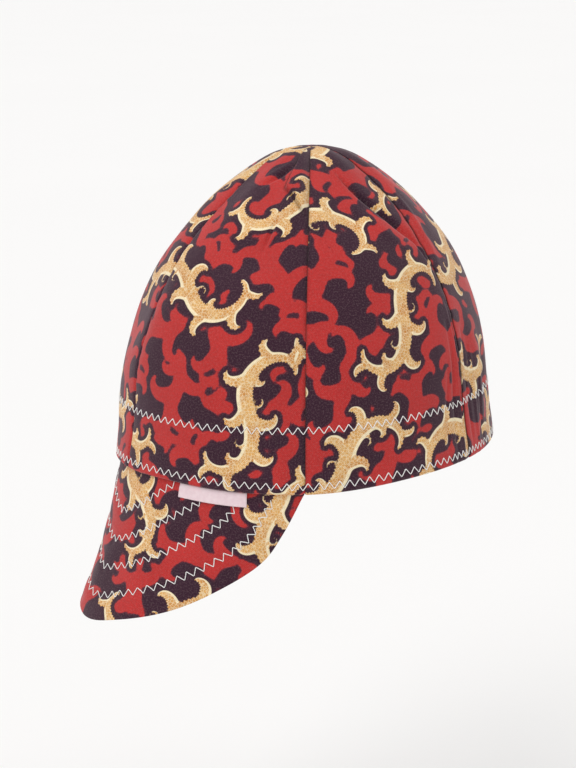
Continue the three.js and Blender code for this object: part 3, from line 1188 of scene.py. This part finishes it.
@dataclass
class CrownPanel:
    """One gore: its outer ply, the hem that is turned up inside, and the laps at its seams."""

    crown: CrownForm
    number: int
    cut_at: tuple[float, float]
    cloth: float = 0.5
    hem: float = 33.0
    fold: float = 1.2
    lap: float = 0.7
    roll: float = 0.3
    spacing: float = 1.12
    hem_spacing: float = 1.3
    turn_rows: int = 9
    band: float = 3.0
    start_band: tuple[float, ...] = (0, 0.25, 0.6, 1.1, 1.8, 3.0)
    end_band: tuple[float, ...] = (-3.0, -2.1, -1.4, -0.8, -0.35, 0.0)
    allowance: tuple[float, ...] = (1.5, 4.0, 7.0)
    roll_reach: float = 1.2
    lap_start: tuple[float, float] = (-2.2, -0.3)
    narrow: float = 30.0
    # rim_wear sizes real wear at the folded rim; seam_shade, flap_shade and flap_shade_out size the
    # painted shade at the seams and the painted shadow under the flap
    rim_wear: float = 1.6
    seam_shade: float = 0.5
    flap_shade: float = 0.7
    flap_shade_out: float = 0.45

    @property
    def name(self) -> str:
        """Name of the CAD node that this gore stands for."""
        return f"crown_panel_{self.number}"

    def columns(self) -> tuple[Array, Array]:
        """Lists the columns.

        Returns:
            For each column, its share of the gore's width and the millimetres added to that.
        """
        cells = 88
        middle = np.arange(1, cells) / cells
        ending = len(self.end_band) + len(self.allowance)
        shares = [0.0] * len(self.start_band), middle, [1.0] * ending
        between = self.band - 2 * self.band * middle
        offsets = self.start_band, between, self.end_band, self.allowance
        return np.concatenate(shares), np.concatenate(offsets)

    def ways(self) -> Array:
        """Lists the rows by their way from the rim's outside, negative once round the fold.

        Returns:
            Ways in millimetres, from the raw edge inside up to the top outside.
        """
        spacing = self.spacing * 1
        top = self.crown.rises[-1]
        outside = np.linspace(self.fold, top, int(top / spacing))
        turn = self.fold - np.linspace(0, 1, self.turn_rows)[1:] * math.pi * self.fold
        steps = np.linspace(0, 1, int(self.hem / spacing / self.hem_spacing))[1:]
        inside = turn[-1] - steps * (self.hem - self.fold)
        return np.concatenate([inside[::-1], turn[::-1], outside])

    def seam_arcs(self) -> list[Array]:
        """Ways round the rim to the gore's two seams."""
        seams = self.crown.seams[self.number - 1 : self.number + 1]
        return [self.crown.arc_at(np.array(seam)) for seam in seams]

    def place(self, column: Array, row: Array) -> tuple[Array, Attributes]:
        """Places the gore's points.

        Args:
            column: number of each point's column.
            row: number of each point's row.

        Returns:
            Points in millimetres, and the print's attributes.
        """
        shares, offsets = self.columns()
        share, offset, way = shares[column], offsets[column], self.ways()[row]
        after_turn = self.fold - math.pi * self.fold
        rise = np.where(way >= self.fold, way, np.maximum(self.fold, self.fold + after_turn - way))
        phase = np.clip((self.fold - way) / self.fold, 0, math.pi)
        start, end = self.seam_arcs()
        radius = np.maximum(self.crown.radius_at(rise), SMALLEST_RADIUS)
        width = radius * (end - start)
        shrink = np.minimum(1, width / self.narrow)
        across = share * width + offset * shrink
        angle = self.crown.angle_at(start + across / radius)
        first, last = len(self.start_band), len(shares) - len(self.allowance) - len(self.end_band)
        start_offset = np.where(column < first, offset, self.band)
        end_offset = np.where(column >= last, offset, -self.band)
        lap = -self.roll * (1 - np.minimum(start_offset / self.roll_reach, 1)) ** 2
        lap = (lap - self.lap * smoothstep(end_offset, *self.lap_start)) * shrink
        swell = self.crown.swell(angle, rise)
        ply = self.fold * (np.cos(phase) - 1) + lap * np.cos(phase)
        points = self.crown.shell(angle, rise, swell + ply)
        points[:, 2] -= (self.fold + lap) * np.sin(phase)
        flat = np.column_stack([across - width / 2, way])
        to_seam = np.maximum(np.minimum(across, width - across), 0)
        inside, free = self.crown.flap(angle, rise)
        # painted shadow along the loose flap's free edge, plus painted shade along the fold below the
        # side seam
        painted_flap_shadow = np.exp(-(((inside + self.flap_shade_out) / self.flap_shade) ** 2)) * free
        painted_shade = painted_flap_shadow + self.crown.crease_depth(self.crown.tuck, angle, rise)
        # edge: real wear at the folded rim above 0, painted shade at the seams, under the flap and in
        # the fold below 0
        edge = np.exp(-np.abs(way) / self.rim_wear) - np.exp(-to_seam / self.seam_shade) * shrink
        edge = np.maximum(edge - painted_shade * (way > self.hem), -1)
        return points, PRINT.attributes(flat + np.array(self.cut_at), edge)

    def build(self) -> bpy.types.Object:
        """Builds the gore.

        Returns:
            The gore's object.
        """
        columns, rows = len(self.columns()[0]) - 1, len(self.ways()) - 1
        panel = woven_sheet(f"{self.name}_cloth", columns, rows, self.place, WELD_MM)
        thicken(panel, self.cloth, 1)
        start, end = self.seam_arcs()
        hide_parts(self.name)
        return panel

    def dress(
        self, panel: bpy.types.Object, face: bpy.types.Material, back: bpy.types.Material
    ) -> None:
        """Gives the gore its cotton and its body.

        Args:
            panel: the gore's object.
            face: cotton for the outside.
            back: cotton for the inside.
        """
        panel.data.materials.append(face)
        panel.data.materials.append(back)
        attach(panel, BODY)


@dataclass
class BrimForm:
    """Brim nearly as the CAD has it, in millimetres, with its quilting."""

    crown: CrownForm
    side_angle: float = 64.5
    reach: float = 79.8
    thickness: float = 2.8
    tuck: float = 7.0
    pitch: float = math.radians(73.6)
    pitch_gain: float = math.radians(17.5)
    flare: float = math.radians(9.5)
    droop: float = math.radians(10.3)
    droop_span: float = 40.0
    turn: float = 14.0
    relief: float = 1.4
    hem_depth: float = 2.7
    outline: tuple[tuple[float, float], ...] = (
        (0, 1), (0.2, 0.925), (0.4, 0.809), (0.6, 0.64), (0.8, 0.442), (0.9, 0.257), (1, 0),
    )
    first_row: float = 12.8
    row_step: float = 14.1
    row_count: int = 4
    pad_swell: float = 0.28
    row_depth: float = 0.85
    row_reach: float = 2.2
    pull_spread: float = 0.2
    pull_pace: float = 1.2
    flat_edge: float = 7.0
    flat_rim: float = 6.0
    slow_wave: float = 0.28
    slow_pace: float = 0.11
    slow_shift: float = 0.7
    quick_wave: float = 0.22
    quick_pace: float = 0.23
    quick_slant: float = 0.1
    wave_span: tuple[float, float] = (5.0, 40.0)
    under_share: float = 0.6
    edge_half: float = 0.75
    pad_half: float = 0.65
    pad_from_edge: float = 9.0
    side_rounding: float = 4.0
    tuck_rounding: float = 1.6

    EDGE_POINTS = 801
    EDGE_STRIDE = 4
    ROW_POINTS = 241
    ROW_STEPS = 121
    ROW_MARGIN_MM = 0.5
    ROW_SMOOTHING = 15

    def __post_init__(self) -> None:
        """Tabulates the free edge."""
        half = np.array(self.outline, float)
        mirrored = half[:0:-1] * np.array([-1.0, 1.0])
        whole = np.concatenate([mirrored, half])
        curve = catmull_rom(whole, np.linspace(0, 1, self.EDGE_POINTS))
        self.edge_across = curve[:, 0]
        self.edge_down = np.maximum(curve[:, 1], 0) * self.reach
        self.edge_arc = self.crown.arc_at(self.edge_across * self.side_angle)

    def free_length(self, arc: Array) -> Array:
        """Finds the brim's length from the rim to its free edge.

        Args:
            arc: way round the rim from the middle.

        Returns:
            Length in millimetres.
        """
        return np.interp(arc, self.edge_arc, self.edge_down)

    def to_edge(self, arc: Array, down: Array) -> Array:
        """Finds the distance to the free edge, measured on the flat cloth.

        Args:
            arc: way round the rim from the middle.
            down: way from the rim to the free edge.

        Returns:
            Distance in millimetres.
        """
        edge = np.stack([self.edge_arc, self.edge_down], -1)[:: self.EDGE_STRIDE]
        flat = np.stack([np.ravel(arc), np.ravel(down)], -1)
        away = np.linalg.norm(flat[:, None] - edge[None], axis=-1).min(1)
        return away.reshape(np.shape(arc))

    def point(self, arc: Array, down: Array, depth: Array) -> Array:
        """Places points of the brim.

        Args:
            arc: way round the rim from the middle.
            down: way from the rim to the free edge, negative inside the hem.
            depth: way in from the outer face.

        Returns:
            Points in millimetres.
        """
        angle = self.crown.angle_at(arc)
        rise = self.crown.rise_at(np.maximum(-down, 0) / self.crown.height)
        wall = self.crown.normal(angle, rise)
        point = self.crown.shell(angle, rise, np.full(np.shape(angle), -self.hem_depth))
        below = np.maximum(down, 0)
        pitch = self.pitch + self.pitch_gain * (angle / self.side_angle) ** 2
        pitch = pitch + self.flare * (0.5 - below / self.reach)
        pitch = pitch + self.droop * smoothstep(-angle, 0, self.droop_span)
        eased = smoothstep(below, 0, self.turn)
        outward = unit(wall * np.array([1.0, 1.0, 0.0]))
        upward = np.array([0.0, 0.0, 1.0])
        slope = outward * np.sin(pitch)[..., None] + upward * np.cos(pitch)[..., None]
        normal = wall + (slope - wall) * eased[..., None]
        forward = np.cos(pitch) * below + self.relief * eased
        point = point + outward * forward[..., None]
        point = point - upward * (np.sin(pitch) * below)[..., None]
        return point - normal * np.asarray(depth)[..., None]

    def quilting(self, arc: Array, down: Array) -> Array:
        """Finds how far each face sinks in at the stitched rows, less the pad's swell between them.

        Args:
            arc: way round the rim from the middle.
            down: way from the rim to the free edge.

        Returns:
            Way in, in millimetres.
        """
        away = self.to_edge(arc, down)
        sunk = np.full(np.shape(arc), -self.pad_swell)
        for number in range(self.row_count):
            gap = away - self.first_row - self.row_step * number
            pull = 1 - self.pull_spread * (1 - np.sin(arc * self.pull_pace + number))
            sunk += self.row_depth * np.exp(-((gap / self.row_reach) ** 2)) * pull
        slow = self.slow_wave * np.sin(arc * self.slow_pace + self.slow_shift)
        quick = self.quick_wave * np.sin(arc * self.quick_pace + down * self.quick_slant)
        sunk = sunk * smoothstep(away, 0, self.flat_edge) * smoothstep(down, 0, self.flat_rim)
        return sunk + (slow + quick) * smoothstep(down, *self.wave_span)

    def half_thickness(self, arc: Array, down: Array) -> Array:
        """Finds half of the pad's thickness, which is less at its edges.

        Args:
            arc: way round the rim from the middle.
            down: way from the rim to the free edge.

        Returns:
            Half thickness in millimetres.
        """
        end = self.edge_arc[-1]
        padded = smoothstep(self.to_edge(arc, down), 0, self.pad_from_edge)
        full = self.edge_half + self.pad_half * padded
        sides = np.sqrt(np.clip((end - np.abs(arc)) / self.side_rounding, 0, 1))
        inner = np.sqrt(np.clip((down + self.tuck) / self.tuck_rounding, 0, 1))
        return full * sides * inner

    def face(self, arc: Array, down: Array, lift: Array) -> Array:
        """Places points on the brim's outer face, lifted outwards.

        Args:
            arc: way round the rim from the middle.
            down: way from the rim to the free edge.
            lift: way off the face, in millimetres.

        Returns:
            Points in millimetres.
        """
        half = self.half_thickness(arc, down)
        depth = self.thickness / 2 - half + self.quilting(arc, down)
        return self.point(arc, down, depth - lift)

    def underside(self, arc: Array, down: Array, lift: Array) -> Array:
        """Places points on the brim's inner face, lifted inwards.

        Args:
            arc: way round the rim from the middle.
            down: way from the rim to the free edge.
            lift: way off the face, in millimetres.

        Returns:
            Points in millimetres.
        """
        half = self.half_thickness(arc, down)
        depth = self.thickness / 2 + half - self.under_share * self.quilting(arc, down)
        return self.point(arc, down, depth + lift)

    def row_path(self, number: int) -> Array:
        """Finds a stitched row on the flat brim.

        Args:
            number: row, counted from the free edge.

        Returns:
            Points as way round the rim and way down.
        """
        distance = self.first_row + self.row_step * number
        arcs = np.linspace(self.edge_arc[0], self.edge_arc[-1], self.ROW_POINTS)[1:-1]
        lengths = self.free_length(arcs)
        shares = np.linspace(0, 1, self.ROW_STEPS)[None]
        grid_arc = np.broadcast_to(arcs[:, None], (len(arcs), shares.size))
        grid_down = lengths[:, None] * shares
        away = self.to_edge(grid_arc, grid_down)
        found = np.array(
            [np.interp(distance, line[::-1], downs[::-1]) for line, downs in zip(away, grid_down)]
        )
        kept = away[:, 0] > distance + self.ROW_MARGIN_MM
        arcs, found = arcs[kept], found[kept]
        window = np.hanning(self.ROW_SMOOTHING)
        window = window / window.sum()
        padded = np.pad(found, self.ROW_SMOOTHING // 2, mode="edge")
        smooth = np.convolve(padded, window, mode="valid")
        return np.stack([arcs, smooth], -1)


@dataclass
class QuiltedBrim:
    """Brim: two plies of the printed cotton over a thin pad, sewn through in rows."""

    form: BrimForm
    columns: int = 176
    rows: int = 66
    edge_rows: int = 10
    bunching: float = 0.55
    edge_round: float = 0.75
    edge_round_share: float = 0.3
    edge_seam: float = 0.2
    edge_seam_width: float = 0.3
    edge_wear: float = 0.8
    edge_wear_reach: float = 1.3
    cut_at: tuple[float, float] = (31.0, 415.0)
    under_cut_at: tuple[float, float] = (260.0, 660.0)

    def place(self, column: Array, row: Array) -> tuple[Array, Attributes]:
        """Places the brim's points, over its face, round the free edge and back underneath.

        Args:
            column: number of each point's column.
            row: number of each point's row.

        Returns:
            Points in millimetres, and the print's attributes.
        """
        form = self.form
        end = form.edge_arc[-1]
        spread = 2 * column / self.columns - 1
        bunch = math.pi / 2 * self.bunching
        arc = np.sin(spread * bunch) / math.sin(bunch) * end
        length = form.free_length(arc)
        under = row > self.rows + self.edge_rows
        round_edge = (row > self.rows) & ~under
        back_row = 2 * self.rows + self.edge_rows - row
        share = np.clip(np.where(under, back_row, row) / self.rows, 0, 1)
        inset = np.minimum(self.edge_round, length * self.edge_round_share)
        down = -form.tuck + (length - inset + form.tuck) * share
        half = form.half_thickness(arc, down)
        phase = np.clip((row - self.rows) / self.edge_rows, 0, 1) * math.pi
        notch = self.edge_seam * np.exp(-(((phase - math.pi / 2) / self.edge_seam_width) ** 2))
        bulge = np.where(round_edge, np.sin(phase) * (1 - notch), 0)
        quilting = form.quilting(arc, down)
        rounding = np.where(round_edge, np.cos(phase), np.where(under, -1.0, 1.0))
        sunk = np.where(under, -form.under_share, 1.0) * quilting
        depth = form.thickness / 2 - half * rounding + np.where(round_edge, quilting, sunk)
        points = form.point(arc, down + bulge * inset, depth)
        cut = np.where(under[:, None], np.array(self.under_cut_at), np.array(self.cut_at))
        flat = np.column_stack([arc, -down]) + cut
        edge = np.exp(-form.to_edge(arc, down) / self.edge_wear_reach) * self.edge_wear
        return points, PRINT.attributes(flat, edge)

    def build(self) -> bpy.types.Object:
        """Builds the brim.

        Returns:
            The brim's object.
        """
        rows = 2 * self.rows + self.edge_rows
        brim = woven_sheet("brim_pad", self.columns, rows, self.place, WELD_MM)
        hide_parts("brim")
        return brim

    def dress(self, brim: bpy.types.Object, face: bpy.types.Material) -> None:
        """Gives the brim its cotton and its body.

        Args:
            brim: the brim's object.
            face: printed cotton.
        """
        brim.data.materials.append(face)
        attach(brim, BODY)


@dataclass
class ZigzagStitch:
    """Zigzag machine stitch along a path, as short arched lengths of thread.

    period, width and radius are in millimetres. crowding tells how much closer the stitches are at a
    way along the path.
    """

    name: str
    surface: SurfacePlace
    path: Array
    slot: Slot
    period: float = 5.2
    width: float = 3.4
    radius: float = 0.23
    sides: int = 6
    closed: bool = False
    seed: int = 1
    crowding: Callable[[Array], Array] | None = None

    SHARES = (0.0, 0.07, 0.3, 0.7, 0.93, 1.0)
    LIFTS = (-0.3, 0.14, 0.2, 0.2, 0.14, -0.3)
    PACE_JITTER = 0.06
    SWING_JITTER = 0.05
    PROBE_MM = 0.5

    def needle_points(self) -> Array:
        """Finds where the needle went through, on the flat cloth.

        Returns:
            Points in millimetres.
        """
        steps = np.linalg.norm(np.diff(self.path, axis=0), axis=1)
        crowd = self.crowding(self.path[:, 0]) if self.crowding else np.ones(len(self.path))
        steps = steps * (crowd[1:] + crowd[:-1]) / 2
        length = np.concatenate([[0.0], np.cumsum(steps)])
        count = int(round(length[-1] / (self.period / 2)))
        count += count % 2
        draw = np.random.default_rng(self.seed)
        strayed = draw.uniform(-self.PACE_JITTER, self.PACE_JITTER, count - 1)
        places = np.arange(count + 1) + np.concatenate([[0], strayed, [0]])
        places = places / count * length[-1]
        along = np.stack([np.interp(places, length, self.path[:, axis]) for axis in (0, 1)], -1)
        way = np.gradient(self.path, axis=0)
        way = unit(np.stack([np.interp(places, length, way[:, axis]) for axis in (0, 1)], -1))
        side = np.stack([-way[:, 1], way[:, 0]], -1)
        swing = np.where(np.arange(count + 1) % 2, 0.5, -0.5) * self.width
        swing = swing * (1 + draw.uniform(-self.SWING_JITTER, self.SWING_JITTER, count + 1))
        if self.closed:
            swing[-1] = swing[0]
        return along + side * swing[:, None]

    def template(self) -> tuple[Array, list[tuple[int, ...]]]:
        """Makes one length of thread along Z as a divided cylinder.

        Returns:
            Its points and its faces.
        """
        shape = bmesh.new()
        turn = Matrix.Translation((0, 0, 0.5))
        bmesh.ops.create_cone(
            shape, cap_ends=True, segments=self.sides, radius1=1, radius2=1, depth=1, matrix=turn
        )
        for share in self.SHARES[1:-1]:
            everything = shape.verts[:] + shape.edges[:] + shape.faces[:]
            bmesh.ops.bisect_plane(
                shape, geom=everything, plane_co=(0, 0, share), plane_no=(0, 0, 1)
            )
        points = np.array([vert.co[:] for vert in shape.verts])
        shape.verts.index_update()
        faces = [tuple(vert.index for vert in face.verts) for face in shape.faces]
        shape.free()
        return points, faces

    def build(self) -> bpy.types.Object:
        """Builds the stitch as one joined mesh.

        Returns:
            The thread's object.
        """
        points, faces = self.template()
        needles = self.needle_points()
        first, second = needles[:-1, None], needles[1:, None]
        share = np.round(points[:, 2], 4)[None, :, None]
        flat = first + (second - first) * share
        lift = np.interp(points[:, 2], self.SHARES, self.LIFTS)[None] * np.ones((len(first), 1))
        centre = self.surface(flat[..., 0], flat[..., 1], lift)
        above = self.surface(flat[..., 0], flat[..., 1], lift + self.PROBE_MM)
        away = unit(above - centre)
        behind, ahead = (
            self.surface(end[..., 0] + 0 * lift, end[..., 1] + 0 * lift, lift)
            for end in (first, second)
        )
        side = unit(np.cross(unit(ahead - behind), away))
        ring = self.radius * (points[None, :, :1] * side + points[None, :, 1:2] * away)
        placed = (centre + ring).reshape(-1, 3)
        every_face = [
            tuple(index + number * len(points) for index in face)
            for number in range(len(first))
            for face in faces
        ]
        mesh = bpy.data.meshes.new(self.name)
        mesh.from_pydata((placed * MM).tolist(), [], every_face)
        length = np.linalg.norm(second - first, axis=-1)
        round_share = np.arctan2(points[:, 1], points[:, 0])[None] + 0 * length
        strand = np.stack([round_share, share[..., 0] * length, 0 * round_share], -1)
        layer = mesh.attributes.new("strand", "FLOAT_VECTOR", "POINT")
        layer.data.foreach_set("vector", strand.astype(np.float32).ravel())
        mesh.shade_smooth()
        thread = bpy.data.objects.new(self.name, mesh)
        bpy.context.scene.collection.objects.link(thread)
        return thread

    def dress(self, thread: bpy.types.Object, material: bpy.types.Material) -> None:
        """Gives the thread its material and its body.

        Args:
            thread: the thread's object.
            material: sewing thread.
        """
        thread.data.materials.append(material)
        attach(thread, BODY)


@dataclass
class FoldedTag:
    """Bare satin tag, folded double and sewn into the seam between hem and brim."""

    form: BrimForm
    angle: float = 37.1
    width: float = 36.0
    drop: float = 6.8
    front_lift: float = 1.25
    back_lift: float = 0.75
    sewn_lift: float = 0.45
    sewn_span: float = 0.45
    ripple: float = 0.18
    ripple_pace: float = 0.16
    ripple_shift: float = 0.5
    cloth: float = 0.22
    columns: int = 48
    straight_rows: int = 12
    turn_rows: int = 6

    def place(self, column: Array, row: Array) -> tuple[Array, Attributes]:
        """Places the tag's points, down its front, round the fold and up its back.

        Args:
            column: number of each point's column.
            row: number of each point's row.

        Returns:
            Points in millimetres, and the place on the flat tape.
        """
        straight, turn = self.straight_rows, self.turn_rows
        spread = (column / self.columns - 0.5) * self.width
        front = row <= straight
        back = row >= straight + turn
        on_back = np.where(back, (2 * straight + turn - row) / straight, 1)
        share = np.where(front, row / straight, on_back)
        phase = np.clip((row - straight) / turn, 0, 1) * math.pi
        middle = (self.front_lift + self.back_lift) / 2
        half = (self.front_lift - self.back_lift) / 2
        lift = middle + half * np.cos(phase)
        down = (self.drop - half) * share + half * np.sin(phase)
        freed = smoothstep(share, 0, self.sewn_span)
        lift = lift * (self.sewn_lift + (1 - self.sewn_lift) * freed)
        lift = lift + self.ripple * np.sin(spread * self.ripple_pace + self.ripple_shift) * share
        arc = self.form.crown.arc_at(np.array(self.angle)) + spread
        points = self.form.point(arc, down, -lift)
        way = np.where(front, -down, down - 2 * self.drop)
        return points, {"cloth_mm": np.column_stack([spread, way, 0 * way])}

    def build(self) -> bpy.types.Object:
        """Builds the tag.

        Returns:
            The tag's object.
        """
        rows = 2 * self.straight_rows + self.turn_rows
        tag = woven_sheet("label_tape", self.columns, rows, self.place)
        thicken(tag, self.cloth)
        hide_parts("label")
        return tag

    def dress(self, tag: bpy.types.Object, satin: bpy.types.Material) -> None:
        """Gives the tag its satin and its body.

        Args:
            tag: the tag's object.
            satin: woven tape.
        """
        tag.data.materials.append(satin)
        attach(tag, BODY)


@dataclass(frozen=True)
class Gather:
    """Stretch of the rim where the cloth is gathered, so that the stitches lie closer."""

    angle: float
    spread: float
    gain: float


@dataclass
class Stitching:
    """All the zigzag rows of the cap: two round the crown and four across the brim."""

    crown: CrownForm
    brim: BrimForm
    hem_plies: float = 2.4
    gathers: tuple[Gather, ...] = (Gather(121, 9, 0.55), Gather(237, 8, 0.4))

    RIM_POINTS = 721
    CROWN_ROWS = (("lower", 21), ("upper", 22))
    BRIM_SEED = 31

    def crowding(self, arc: Array) -> Array:
        """Tells how much closer the stitches are where the cloth is gathered.

        Args:
            arc: way round the rim.

        Returns:
            How many stitches there are for one elsewhere.
        """
        angle = np.mod(self.crown.angle_at(arc), 360)
        crowd = np.ones(np.shape(angle))
        for gather in self.gathers:
            crowd += gather.gain * np.exp(-(((angle - gather.angle) / gather.spread) ** 2))
        return crowd

    def inside_hem(self, arc: Array, rise: Array, lift: Array) -> Array:
        """Places points on the hem's inner face, lifted inwards.

        Args:
            arc: way round the rim.
            rise: way up the section, in millimetres.
            lift: way off the hem, in millimetres.

        Returns:
            Points in millimetres.
        """
        return self.crown.surface(arc, rise, -self.hem_plies - lift)

    def rows(self) -> list[ZigzagStitch]:
        """Lists the rows of stitching.

        Returns:
            Each row's outside, then its inside.
        """
        round_rim = self.crown.arc_at(np.linspace(0, 360, self.RIM_POINTS))
        stitches = []
        for (label, seed), rise in zip(self.CROWN_ROWS, self.crown.stitch_rises):
            path = np.stack([round_rim, np.full(len(round_rim), rise)], -1)
            for side, surface in (("", self.crown.surface), ("_inside", self.inside_hem)):
                stitches.append(
                    ZigzagStitch(
                        f"crown_stitch_{label}{side}",
                        surface,
                        path,
                        Slot.CROWN,
                        closed=True,
                        seed=seed,
                        crowding=self.crowding,
                    )
                )
        for number in range(self.brim.row_count):
            path = self.brim.row_path(number)
            seed = self.BRIM_SEED + number
            for side, surface in (("", self.brim.face), ("_under", self.brim.underside)):
                name = f"brim_stitch_{number + 1}{side}"
                stitches.append(ZigzagStitch(name, surface, path, Slot.BRIM, seed=seed))
        return stitches


@dataclass(frozen=True)
class SoftLight:
    """Large far-off diffuser: which way it lies, how wide it looks in degrees, and how strong."""

    name: str
    direction: tuple[float, float, float]
    width: float
    strength: float
    colour: str = "#ffffff"


@dataclass
class Studio:
    """Pale floor, near-white surroundings, soft lights, and the camera at the photograph's angle."""

    floor_height: float = -0.3
    floor_size: float = 80.0
    azimuth: float = math.radians(61.907)
    elevation: float = math.radians(14.701)
    roll: float = math.radians(0.783)
    distance: float = 0.89739
    aim_side: float = -0.00981
    aim_height: float = 0.02964
    focal_px: float = 1692.27
    frame_height_px: int = 768
    sensor_mm: float = 36.0
    surroundings: str = "#ffffff"
    surroundings_strength: float = 0.48
    lights: tuple[SoftLight, ...] = (
        SoftLight("key", (0.25, -0.75, 0.85), 40.0, 1.12),
        SoftLight("top", (0.1, 0.15, 1.0), 60.0, 1.05),
    )

    def build_floor(self) -> None:
        """Lays the floor."""
        shape = bmesh.new()
        bmesh.ops.create_grid(shape, x_segments=8, y_segments=8, size=self.floor_size / 2)
        bmesh.ops.translate(shape, verts=shape.verts, vec=(0, 0, self.floor_height))
        mesh = bpy.data.meshes.new("floor")
        shape.to_mesh(mesh)
        shape.free()
        mesh.materials.append(StudioPaper().material())
        floor = bpy.data.objects.new("floor", mesh)
        bpy.context.scene.collection.objects.link(floor)

    def build_lights(self) -> None:
        """Hangs the lights and sets the surroundings."""
        world = bpy.data.worlds.new("surroundings")
        world.use_nodes = True
        background = world.node_tree.nodes["Background"]
        background.inputs["Color"].default_value = linear(self.surroundings)
        background.inputs["Strength"].default_value = self.surroundings_strength
        bpy.context.scene.world = world
        for diffuser in self.lights:
            light = bpy.data.lights.new(diffuser.name, "SUN")
            light.angle = math.radians(diffuser.width)
            light.energy = diffuser.strength
            light.color = linear(diffuser.colour)[:3]
            lamp = bpy.data.objects.new(diffuser.name, light)
            lamp.rotation_euler = Vector(diffuser.direction).to_track_quat("Z", "Y").to_euler()
            bpy.context.scene.collection.objects.link(lamp)

    def build_camera(self) -> None:
        """Sets the camera where the photograph was taken from."""
        back = Vector(
            (
                math.sin(self.azimuth) * math.cos(self.elevation),
                -math.cos(self.azimuth) * math.cos(self.elevation),
                math.sin(self.elevation),
            )
        )
        right = Vector((math.cos(self.azimuth), math.sin(self.azimuth), 0))
        turned = Matrix.Rotation(-self.roll, 3, back)
        right = turned @ right
        up = back.cross(right)
        aim = Vector(
            (
                self.aim_side * math.cos(self.azimuth),
                self.aim_side * math.sin(self.azimuth),
                self.aim_height,
            )
        )
        lens = bpy.data.cameras.new("camera")
        lens.sensor_fit = "VERTICAL"
        lens.sensor_height = self.sensor_mm
        lens.lens = self.focal_px * self.sensor_mm / self.frame_height_px
        camera = bpy.data.objects.new("camera", lens)
        pose = Matrix((right, up, back)).transposed().to_4x4()
        pose.translation = aim + back * self.distance
        camera.matrix_world = pose
        bpy.context.scene.collection.objects.link(camera)
        bpy.context.scene.camera = camera

    def build(self) -> None:
        """Builds the studio and sets plain colour handling."""
        self.build_camera()
        self.build_floor()
        self.build_lights()
        bpy.context.scene.view_settings.view_transform = "Standard"


def report(piece: bpy.types.Object) -> None:
    """Logs a finished piece."""
    LOG.info("%s: %d points", piece.name, len(piece.data.vertices))


def main() -> None:
    """Builds the cap and its studio."""
    logging.basicConfig(level=logging.INFO, format="%(name)s %(message)s")
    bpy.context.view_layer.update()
    Studio().build()
    cotton = PrintedCotton()
    face, back = cotton.material(ClothSide.FACE), cotton.material(ClothSide.BACK)
    crown = CrownForm()
    brim_form = BrimForm(crown)
    for number, cut_at in enumerate(GORE_CUTS, start=1):
        gore = CrownPanel(crown, number, cut_at)
        panel = gore.build()
        gore.dress(panel, face, back)
        report(panel)
    quilted = QuiltedBrim(brim_form)
    brim = quilted.build()
    quilted.dress(brim, face)
    report(brim)
    polyester = PolyesterThread().material()
    for stitch in Stitching(crown, brim_form).rows():
        thread = stitch.build()
        stitch.dress(thread, polyester)
        report(thread)
    folded = FoldedTag(brim_form)
    tag = folded.build()
    folded.dress(tag, WovenSatin().material())
    report(tag)


if __name__ == "__main__":
    main()
